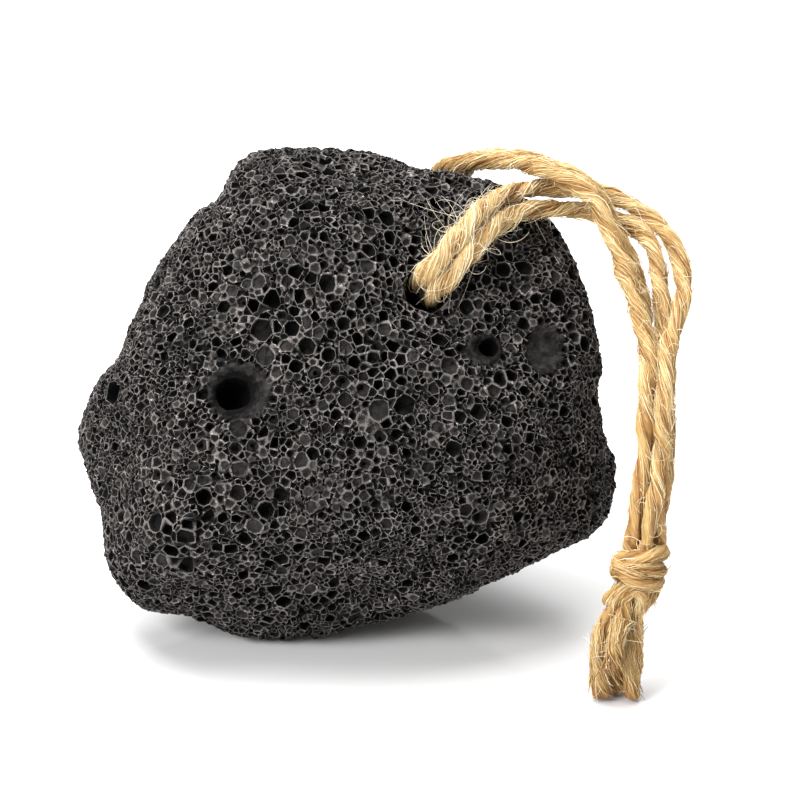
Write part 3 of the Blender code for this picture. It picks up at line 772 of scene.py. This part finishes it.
# Swellings and hollows: right, up, front, spread, height
SWELLINGS = [
    (-26.0, -24.0, 19.0, 9.0, 1.6), (-4.0, -10.0, 26.0, 10.0, 0.9), (-12.0, 11.0, 23.0, 9.0, -1.2),
    (12.6, 13.5, 22.0, 5.0, -1.8), (31.0, 6.0, 15.0, 7.0, -0.9), (38.0, -15.0, 8.0, 8.0, 1.0),
    (2.0, -30.0, 14.0, 8.0, -1.4), (-20.0, 8.0, -24.0, 9.0, -1.7), (14.0, -6.0, -27.0, 11.0, 1.4),
    (-10.0, 26.0, -18.0, 8.0, 1.4), (26.0, 16.0, -17.0, 8.0, -1.2), (16.0, 36.0, -9.0, 7.0, -2.2),
]

# Smooth hollows blown into the broad face, without bubbles: right, up, width, height, depth
BOWLS = [
    (-16.6, 0.6, 9.4, 8.4, 1.7), (30.9, 7.0, 5.6, 7.4, 1.3), (21.2, 7.0, 5.2, 4.4, 0.9),
]

# The black holes inside two of the smooth hollows, painted black inside as painted shade: right, up,
# radius, depth
BLACK_HOLES = [(-17.3, 0.0, 2.95, 5.5), (21.8, 7.2, 1.65, 3.5)]
# How far round a black hole the hollow's floor is painted darker, as painted shade
SOFT_EDGE = 1.3

# The largest bubbles of the broad face: right, up, radius, depth
CAVITIES = [
    (-25.2, -22.3, 1.8, 1.5), (-13.2, 9.9, 1.9, 1.4), (-16.6, -5.2, 1.5, 0.9),
    (-37.0, 0.3, 2.1, 2.8), (-29.0, 13.1, 1.3, 1.5),
    (-11.5, 14.6, 1.7, 2.6), (-8.5, 10.2, 1.4, 1.8), (-12.6, 6.0, 1.7, 0.7),
    (-6.0, 7.4, 1.5, 1.6), (-3.0, 17.0, 1.5, 1.6), (-3.0, 35.1, 1.3, 1.5), (-20.0, 30.5, 1.2, 1.4),
    (6.1, 27.4, 1.5, 1.9), (33.0, 15.2, 1.6, 1.9), (27.5, 20.1, 1.5, 1.8), (24.2, 19.6, 1.4, 1.6),
    (18.6, 13.6, 1.3, 1.4), (14.4, 8.6, 1.5, 1.8), (20.2, -2.5, 1.4, 1.6), (8.9, -1.6, 1.8, 1.8),
    (5.0, -2.2, 1.8, 1.0), (16.4, -8.3, 1.4, 1.6), (-24.8, -26.6, 1.5, 1.7), (-29.6, -19.6, 1.6, 1.6),
    (-21.4, -18.7, 1.3, 1.5), (-16.7, -15.0, 1.3, 1.4), (-16.4, -11.3, 1.4, 0.6),
]

# The drilled hole that the twine passes through, open at both mouths
HOLE_RADIUS = 3.75
HOLE_DEPTH = 16.0
HOLE_MARGIN = 0.2

# How coarse the foam is: its usual bubble radius, and patches as right, up, front, spread, change
USUAL_RADIUS = 0.50
PATCH_SIZE = 5.5
PATCH_CHANGE = 0.6
BOWL_GRAIN = 0.34
# How dark a hollow's floor is painted: a base darkness, and painted shade that grows with depth and near a
# black hole
BOWL_DARK, PAINTED_SHADE_WITH_DEPTH, PAINTED_SHADE_BY_HOLE = 0.25, 0.2, 0.7
COARSENESS = [
    (-4.0, 9.0, 25.0, 12.0, 0.08), (-35.0, 2.0, 12.0, 14.0, -0.12), (-26.0, -22.0, 20.0, 9.0, 0.05),
    (10.0, -26.0, 20.0, 13.0, -0.08), (12.0, 2.0, 24.0, 10.0, 0.03), (36.0, -8.0, 12.0, 12.0, -0.08),
    (0.0, 0.0, -42.0, 34.0, 0.30),
]
SPOT_COUNT = 300000
BUBBLE_PASSES = [(1300, 1.7, 2.4), (10000, 1.2, 1.7), (50000, 0.8, 1.2), (SPOT_COUNT, 0.42, 0.78)]
BUBBLE_CLOSENESS = 0.88
LOOKUP_CELL = 2.0
DEEP_SHARE = 0.60
DEEP, SHALLOW = (1.2, 2.0), (0.35, 0.8)
DEEPEST = 3.2
WALL_HALF = 0.065
WALL_LOSS = 0.8
WALL_SWAY = 0.20
SMALL_BUBBLE, LARGE_BUBBLE = 0.47, 0.90
LARGE_WALL_REACH, LARGE_WALL_DEPTH = 0.80, 0.62
HOLED_SHARE, HOLED_ASIDE, HOLED_DEPTH = 0.28, 0.35, 1.6
TINY = 0.000001
# Pits deeper than this get no painted light and are painted black, as painted shade
PAINTED_BLACK_DEPTH = 3.3
ROCK_SEED = 5


def outline_reach(angles):
    corners = sorted((math.atan2(up, right), math.hypot(right, up)) for right, up in OUTLINE)
    known, reaches = np.array(corners).T
    reads = [np.interp(angles + turn, known, reaches, period=WHOLE_TURN)
             for turn in OUTLINE_SOFTENING]
    return np.mean(reads, axis=0)


def bowls_at(points):
    """How deep each smooth hollow is at each point."""
    depths = []
    for right, up, width, height, deepest in BOWLS:
        spread = (2.0 * (points[:, 0] - right) / width) ** 2 + (2.0 * (points[:, 1] - up) / height) ** 2
        spread[points[:, 2] < 0.0] = 1.0
        depths.append(deepest * np.maximum(0.0, 1.0 - spread))
    return np.array(depths)


def rock_reach(ways):
    """How far the rock goes from its heart along each unit direction."""
    right, up, front = ways.T
    roundness = np.where(front < 0.0, BACK_ROUNDNESS, FRONT_ROUNDNESS)
    depth = np.where(front < 0.0, BACK_REACH, FRONT_REACH)
    across = np.hypot(right, up) / outline_reach(np.arctan2(up, right))
    hull = (across ** roundness + (np.abs(front) / depth) ** roundness) ** (1.0 / roundness)
    push = hull ** EDGE_SHARPNESS
    for way, distance in FACES:
        normal = np.array(way) / np.linalg.norm(way)
        push += (np.maximum(0.0, ways @ normal) / distance) ** EDGE_SHARPNESS
    reach = push ** (-1.0 / EDGE_SHARPNESS)
    points = ways * reach[:, None]
    calm = np.minimum(1.0, np.abs(front) / CALM_RIM)
    lumps = np.array([noise.noise(point / LUMP_SIZE) for point in points])
    ripples = np.array([noise.noise(Vector(point / RIPPLE_SIZE) + RIPPLE_SHIFT) for point in points])
    grit = np.array([noise.noise(point / GRIT_SIZE) for point in points])
    reach += calm * LUMP_HEIGHT * lumps + RIPPLE_HEIGHT * ripples + GRIT_HEIGHT * grit
    for *middle, spread, height in SWELLINGS:
        apart = np.linalg.norm(points - np.array(middle), axis=1)
        reach += height * np.exp(-(apart / spread) ** 2)
    return reach - bowls_at(points).max(axis=0)


def on_ground(points):
    """Points of the rock, as right, up, front, where it stands, with its base ground flat."""
    right, up, front = np.atleast_2d(points).T
    y = up * math.sin(LEAN) - front * math.cos(LEAN)
    z = up * math.cos(LEAN) + front * math.sin(LEAN)
    places = np.stack([right, y, z], axis=1) + HEART
    below = places[:, 2] < 0.0
    shrink = HEART[2] / (HEART[2] - places[below, 2])
    places[below] = HEART + (places[below] - HEART) * shrink[:, None]
    return places


def off_ground(place):
    """A place on the standing rock, seen as right, up, front from its heart."""
    right, y, z = np.array(place) - HEART
    return right, y * math.sin(LEAN) + z * math.cos(LEAN), z * math.sin(LEAN) - y * math.cos(LEAN)


def way_to(right, up):
    """The direction from the heart to the spot of the broad face at this right and up."""
    fronts = np.linspace(5.0, 32.0, 271)
    tries = np.stack([np.full_like(fronts, right), np.full_like(fronts, up), fronts], axis=1)
    lengths = np.linalg.norm(tries, axis=1)
    nearest = np.argmin(np.abs(lengths - rock_reach(tries / lengths[:, None])))
    return tries[nearest] / lengths[nearest]


def usual_radius(spots):
    radius = np.full(len(spots), USUAL_RADIUS)
    for *middle, spread, change in COARSENESS:
        apart = np.linalg.norm(spots - np.array(middle), axis=1)
        radius += change * np.exp(-(apart / spread) ** 2)
    patches = np.array([noise.noise(Vector(spot / PATCH_SIZE)) for spot in spots])
    return radius * 2.0 ** (PATCH_CHANGE * patches)


def foam():
    """The bubbles: the known ones, then ever smaller ones wherever they fit between the others."""
    rng = np.random.default_rng(ROCK_SEED)
    ways = rng.normal(size=(SPOT_COUNT, 3))
    ways /= np.linalg.norm(ways, axis=1)[:, None]
    spots = ways * rock_reach(ways)[:, None]
    usual = usual_radius(spots)
    bowl_depths = bowls_at(spots).max(axis=0)
    in_hole = np.zeros(SPOT_COUNT, dtype=bool)
    chances = rng.random((SPOT_COUNT, 4))
    near = {}
    chosen = []

    def fits(spot, radius):
        key = tuple(int(x // LOOKUP_CELL) for x in spot)
        for dx in (-1, 0, 1):
            for dy in (-1, 0, 1):
                for dz in (-1, 0, 1):
                    for x, y, z, other in near.get((key[0] + dx, key[1] + dy, key[2] + dz), ()):
                        room = BUBBLE_CLOSENESS * (radius + other)
                        if (x - spot[0]) ** 2 + (y - spot[1]) ** 2 + (z - spot[2]) ** 2 < room * room:
                            return False
        return True

    def add(way, spot, radius, depth, dark):
        near.setdefault(tuple(int(x // LOOKUP_CELL) for x in spot), []).append((*spot, radius))
        chosen.append((*way, *spot, radius, depth, dark))

    # The drilled hole and the black holes are painted fully dark, as painted shade.
    for mouth in HOLE_MOUTHS.values():
        way = np.array(off_ground(mouth))
        way /= np.linalg.norm(way)
        spot = way * rock_reach(way[None])[0]
        in_hole |= np.linalg.norm(spots - spot, axis=1) < HOLE_RADIUS + HOLE_MARGIN
        add(way, spot, HOLE_RADIUS, HOLE_DEPTH, 1.0)
    edge = np.full(SPOT_COUNT, np.inf)
    for right, up, radius, depth in BLACK_HOLES:
        way = way_to(right, up)
        spot = way * rock_reach(way[None])[0]
        edge = np.minimum(edge, np.linalg.norm(spots - spot, axis=1) - radius)
        add(way, spot, radius, depth, 1.0)
    for spot_id in np.flatnonzero((bowl_depths > 0.0) & (edge > 0.0) & ~in_hole):
        spot = spots[spot_id].tolist()
        if fits(spot, BOWL_GRAIN):
            # A hollow's floor is painted darker with depth and near a black hole, as painted shade.
            by_hole = max(0.0, 1.0 - edge[spot_id] / SOFT_EDGE)
            dark = BOWL_DARK + PAINTED_SHADE_WITH_DEPTH * bowl_depths[spot_id] + PAINTED_SHADE_BY_HOLE * by_hole
            add(ways[spot_id], spot, BOWL_GRAIN, 0.0, min(1.0, dark))
    for right, up, radius, depth in CAVITIES:
        way = way_to(right, up)
        # A cavity is painted darker the deeper it is, as painted shade.
        add(way, way * rock_reach(way[None])[0], radius, depth, min(1.0, depth / 2.0))
    for tries, least, greatest in BUBBLE_PASSES:
        for spot_id in np.flatnonzero((bowl_depths[:tries] == 0.0) & ~in_hole[:tries]):
            spot = spots[spot_id].tolist()
            size_chance, deep_chance, depth_chance, _ = chances[spot_id]
            radius = usual[spot_id] * (least + (greatest - least) * size_chance)
            if fits(spot, radius):
                deep = deep_chance < DEEP_SHARE
                shallow_end, deep_end = DEEP if deep else SHALLOW
                depth = radius * (shallow_end + (deep_end - shallow_end) * depth_chance)
                # A bubble is painted darker the deeper it is, deep ones nearly black, as painted shade.
                dark = 0.8 + 0.2 * depth_chance if deep else 0.5 * depth_chance
                add(ways[spot_id], spot, radius, min(depth, DEEPEST), dark)
    return np.array(chosen)


def open_bubbles():
    """Cuts a net of bubbles open: each gets a rim that it shares with its neighbours, and a pit."""
    tree = Growth("open bubbles", ["Wall", "Wall Loss", "Wall Sway", "Small", "Large", "Black",
                                   "Stone Material"])
    points = tree.size("Geometry")
    hull = tree.add("GeometryNodeConvexHull", inputs={0: points})
    nearest = tree.add("GeometryNodeSampleNearest", inputs={0: points})

    def sampled(name):
        return tree.add("GeometryNodeSampleIndex", {"data_type": "FLOAT_VECTOR"},
                        {"Geometry": points, "Value": tree.named_vector(name), "Index": nearest})

    net = tree.store(hull, "place", sampled("place"))
    net = tree.store(net, "size", sampled("size"))
    size, depth, dark = [tree.part(tree.named_vector("size"), number) for number in range(3)]
    place = tree.named_vector("place")

    # A crest point is the mean of the bubbles round it, where a small one pulls more
    net = tree.store(net, "pull", place * (1.0 / size))
    net = tree.store(net, "closeness", 1.0 / size)
    net = tree.store(net, "pull", tree.named_vector("pull"), "FACE")
    net = tree.store(net, "closeness", tree.named("closeness"), "FACE")
    net = tree.store(net, "plain spot", tree.reckon("LESS_THAN", depth, TINY))
    net = tree.store(net, "plain", tree.named("plain spot"), "FACE")
    cells = tree.add("GeometryNodeDualMesh", inputs={0: net})
    cells = tree.moved(cells, tree.named_vector("pull") * (1.0 / tree.named("closeness")))

    def grounded(mesh):
        return tree.moved(mesh, tree.lifted_to(0.0, tree.add("GeometryNodeInputPosition")))

    # The crests sway, and here and there one has broken down
    walled = 1.0 - tree.named("plain")
    sway = tree.random_vector(1.0, 4) * (tree.size("Wall Sway") * walled)
    loss = tree.random(0.0, 1.0, 3) ** 4.0 * walled
    lost = tree.add("GeometryNodeInputNormal") * (loss * (tree.size("Wall Loss") * -1.0))
    cells = tree.add("GeometryNodeSetPosition", inputs={"Geometry": cells, "Offset": sway + lost})
    cells = grounded(cells)
    cells = tree.store(cells, "facing", tree.add("GeometryNodeInputNormal"), "FACE")
    cells = tree.store(cells, "beside", tree.random_vector(HOLED_ASIDE, 8), "FACE")
    cells = tree.store(cells, "chance", tree.random(0.0, 1.0, 9), "FACE")
    # Painted light at the crests: full on a standing one, less on a broken one, none in a plain hollow.
    cells = tree.store(cells, "painted_crest_light", loss * -0.5 + walled)

    def ring(geometry, chosen, position, painted_light_value):
        """Pulls the chosen faces one by one into the pit, sets this much painted light on their points, and
        gives the pulled faces.
        """
        inputs = {"Mesh": geometry, "Offset Scale": 0.0, "Individual": True, "Selection": chosen}
        pulled = tree.add("GeometryNodeExtrudeMesh", {"mode": "FACES"}, inputs)
        top = tree.given("Top")
        moved = tree.add("GeometryNodeSetPosition",
                         inputs={"Geometry": pulled, "Selection": top, "Position": position})
        marked = tree.add("GeometryNodeStoreNamedAttribute", {"data_type": "FLOAT", "domain": "POINT"},
                          {"Geometry": moved, "Selection": top, "Name": "painted_crest_light", "Value": painted_light_value})
        return marked, top

    def logic(operation, one, other):
        return tree.add("FunctionNodeBooleanMath", {"operation": operation}, {0: one, 1: other})

    # The rim of each pit, round but for the thickness of the walls
    facing = tree.named_vector("facing")
    from_middle = tree.add("GeometryNodeInputPosition") - place
    reach = tree.reckon("LENGTH", from_middle)
    inner = tree.reckon("MINIMUM", reach - tree.size("Wall"), size * 0.98)
    kept = tree.reckon("MAXIMUM", inner, reach * 0.45) / reach
    rim = place + from_middle * kept + facing * (tree.size("Wall") * -0.8)
    small = tree.reckon("LESS_THAN", size, tree.size("Small"))
    large = tree.reckon("GREATER_THAN", size, tree.size("Large"))
    not_painted_black = tree.reckon("LESS_THAN", depth, tree.size("Black"))
    rimmed = tree.reckon("GREATER_THAN", size, tree.size("Small"))
    # A rim gets less painted light the darker its pit is, and none where the pit is painted black.
    cells, rims = ring(cells, rimmed, rim, not_painted_black * (dark * -0.22 + 0.78))

    # The wall of each large pit, with a little painted light unless the pit is painted black
    wall = place + from_middle * LARGE_WALL_REACH + facing * (depth * -LARGE_WALL_DEPTH)
    cells, walls = ring(cells, logic("AND", rims, large), wall, not_painted_black * 0.3)

    # The hole in the floor of some shallow large pits, through to a bubble behind, painted darker as
    # painted shade
    holed = logic("AND", walls, tree.reckon("LESS_THAN", depth, size))
    holed = logic("AND", holed, tree.reckon("LESS_THAN", tree.named("chance"), HOLED_SHARE))
    middle = place - facing * depth + tree.named_vector("beside") * size
    cells, holes = ring(cells, holed, middle + from_middle * 0.5, -0.2)

    # The bottoms, each drawn together in one point; those of holes and small pits are painted dark as
    # painted shade
    openings = logic("OR", logic("NIMPLY", rims, large), logic("NIMPLY", walls, holed))
    openings = logic("OR", openings, logic("OR", holes, small))
    bottom = place + facing * (depth * (holes * -HOLED_DEPTH - 1.0))
    bottom_painted_shade = tree.reckon("MAXIMUM", holes, small) * walled * -1.0
    cells, bottoms = ring(cells, openings, bottom, bottom_painted_shade)
    cells = tree.add("GeometryNodeMergeByDistance",
                     inputs={"Geometry": cells, "Selection": bottoms, "Distance": TINY})
    return tree.finish(grounded(cells), "Stone Material")


def lava():
    """Black lava: painted highlight on the crests and painted shade down into the pits, with walls of a
    varied dust tone, painted shade in pores and painted glints too small to model.
    """
    stone, shader = plain_finish("black_lava", roughness=0.8, gloss=0.1)
    nodes = Nodes(stone.node_tree)

    def attribute(name, out="Fac"):
        return nodes.add("ShaderNodeAttribute", {"attribute_name": name}, out=out)

    def mixed(factor, low, high):
        return nodes.add("ShaderNodeMix", {"data_type": "FLOAT"}, {0: factor, 2: low, 3: high})

    where = nodes.add("ShaderNodeTexCoord", out="Object")
    painted_crest_light = attribute("painted_crest_light")
    # Each bubble's painted darkness, which stands for the shade deep in its pit.
    dark = nodes.part(attribute("size", "Vector"), 2)
    grain = nodes.cloud("3D", vector=where, scale=5200.0, detail=3.0, roughness=0.6)
    dust = nodes.cloud("3D", vector=where, scale=260.0, detail=2.0)
    mottle = nodes.cloud("3D", vector=where, scale=1100.0, detail=4.0)
    mottle = nodes.step(mottle, 0.3, 0.7, 0.4, 1.6, "LINEAR")
    # Tiny pores, painted darker as painted shade and sunk in the bump.
    pores = nodes.add("ShaderNodeTexVoronoi", inputs={"Vector": where, "Scale": 2900.0, "Randomness": 1.0})
    pore_shade_and_relief = nodes.step(pores, 0.16, 0.38, 0.10, 1.0)
    # Painted glints: tiny specks on the walls painted brighter, as painted highlight.
    painted_glint = nodes.add("ShaderNodeTexVoronoi", inputs={"Vector": where, "Scale": 3600.0}, out="Color")
    painted_glint = nodes.reckon("GREATER_THAN", nodes.part(painted_glint, 0), 0.975)
    # How far the painted light of the crests makes a wall paler, as painted highlight.
    wall = nodes.step(painted_crest_light + (grain - 0.5) * 0.5, 0.55, 0.95)
    # How deep a pit lies in painted shade.
    deep = nodes.reckon("MAXIMUM", dark, nodes.step(painted_crest_light, -0.05, -0.45))
    pit_tone_and_painted_shade = mixed(deep, 0.026, 0.0008) * mottle * (attribute("chance") + 0.45)
    wall_tone_and_painted_light = mixed(dust, 0.015, 0.30) * pore_shade_and_relief * mixed(painted_glint, 1.0, 2.6)
    shade = mixed(wall, pit_tone_and_painted_shade, wall_tone_and_painted_light)
    colour = nodes.add("ShaderNodeCombineColor", inputs={0: shade, 1: shade * 0.91, 2: shade * 0.87})
    nodes.join(colour, shader.inputs["Base Color"])
    bump = nodes.add("ShaderNodeBump", inputs={
        "Strength": 0.8, "Distance": 0.00008, "Height": grain * 0.6 + pore_shade_and_relief * 0.5})
    nodes.join(bump, shader.inputs["Normal"])
    return stone


bubbles = foam()
net_mesh = bpy.data.meshes.new("bubble net")
net_mesh.from_pydata(bubbles[:, :3].tolist(), [], [])
places = on_ground(bubbles[:, 3:6]) * MM
sizes = bubbles[:, 6:9] * np.array([MM, MM, 1.0])
for name, values in (("place", places), ("size", sizes)):
    attribute = net_mesh.attributes.new(name, "FLOAT_VECTOR", "POINT")
    attribute.data.foreach_set("vector", values.astype(np.float32).ravel())
net = bpy.data.objects.new("bubble net", net_mesh)
scene.collection.objects.link(net)
rock = grown("lava_rock", net, open_bubbles(), {
    "Wall": WALL_HALF * MM, "Wall Loss": WALL_LOSS * MM, "Wall Sway": WALL_SWAY * MM,
    "Small": SMALL_BUBBLE * MM, "Large": LARGE_BUBBLE * MM, "Black": PAINTED_BLACK_DEPTH * MM,
    "Stone Material": lava()})
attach(rock, "root")
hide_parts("rock")


# The floor and the light. The rock stands on a plain white table with a faint gloss, under a wide
# soft light from above and a little to the left, with a weaker one in front.
FLOOR_REACH = 3.0
TABLE_WHITE = (0.9, 0.9, 0.9, 1.0)
# Each light's place, width and power, in metres and watts
LIGHTS = {"overhead": ((-0.10, 0.20, 0.95), 0.9, 21.5), "front_left": ((-0.68, -0.62, 0.62), 0.5, 12.0)}
LIGHT_AIM = Vector((0.0, 0.0, 0.03))
SKY_STRENGTH = 0.40

corners = [(x * FLOOR_REACH, y * FLOOR_REACH, 0.0) for x, y in ((-1, -1), (1, -1), (1, 1), (-1, 1))]
floor_mesh = bpy.data.meshes.new("floor")
floor_mesh.from_pydata(corners, [], [(0, 1, 2, 3)])
floor = bpy.data.objects.new("floor", floor_mesh)
scene.collection.objects.link(floor)
table_white, table_shader = plain_finish("table_white", roughness=0.12, gloss=1.0)
table_shader.inputs["Base Color"].default_value = TABLE_WHITE
floor_mesh.materials.append(table_white)

sky = bpy.data.worlds.new("studio")
sky.use_nodes = True
sky.node_tree.nodes["Background"].inputs["Color"].default_value = (1.0, 1.0, 1.0, 1.0)
sky.node_tree.nodes["Background"].inputs["Strength"].default_value = SKY_STRENGTH
scene.world = sky
for light_name, (place, size, power) in LIGHTS.items():
    lamp = bpy.data.lights.new(light_name, "AREA")
    lamp.size = size
    lamp.energy = power
    light = bpy.data.objects.new(light_name, lamp)
    light.location = place
    light.rotation_euler = (LIGHT_AIM - light.location).to_track_quat("-Z", "Y").to_euler()
    scene.collection.objects.link(light)
scene.view_settings.view_transform = "Standard"
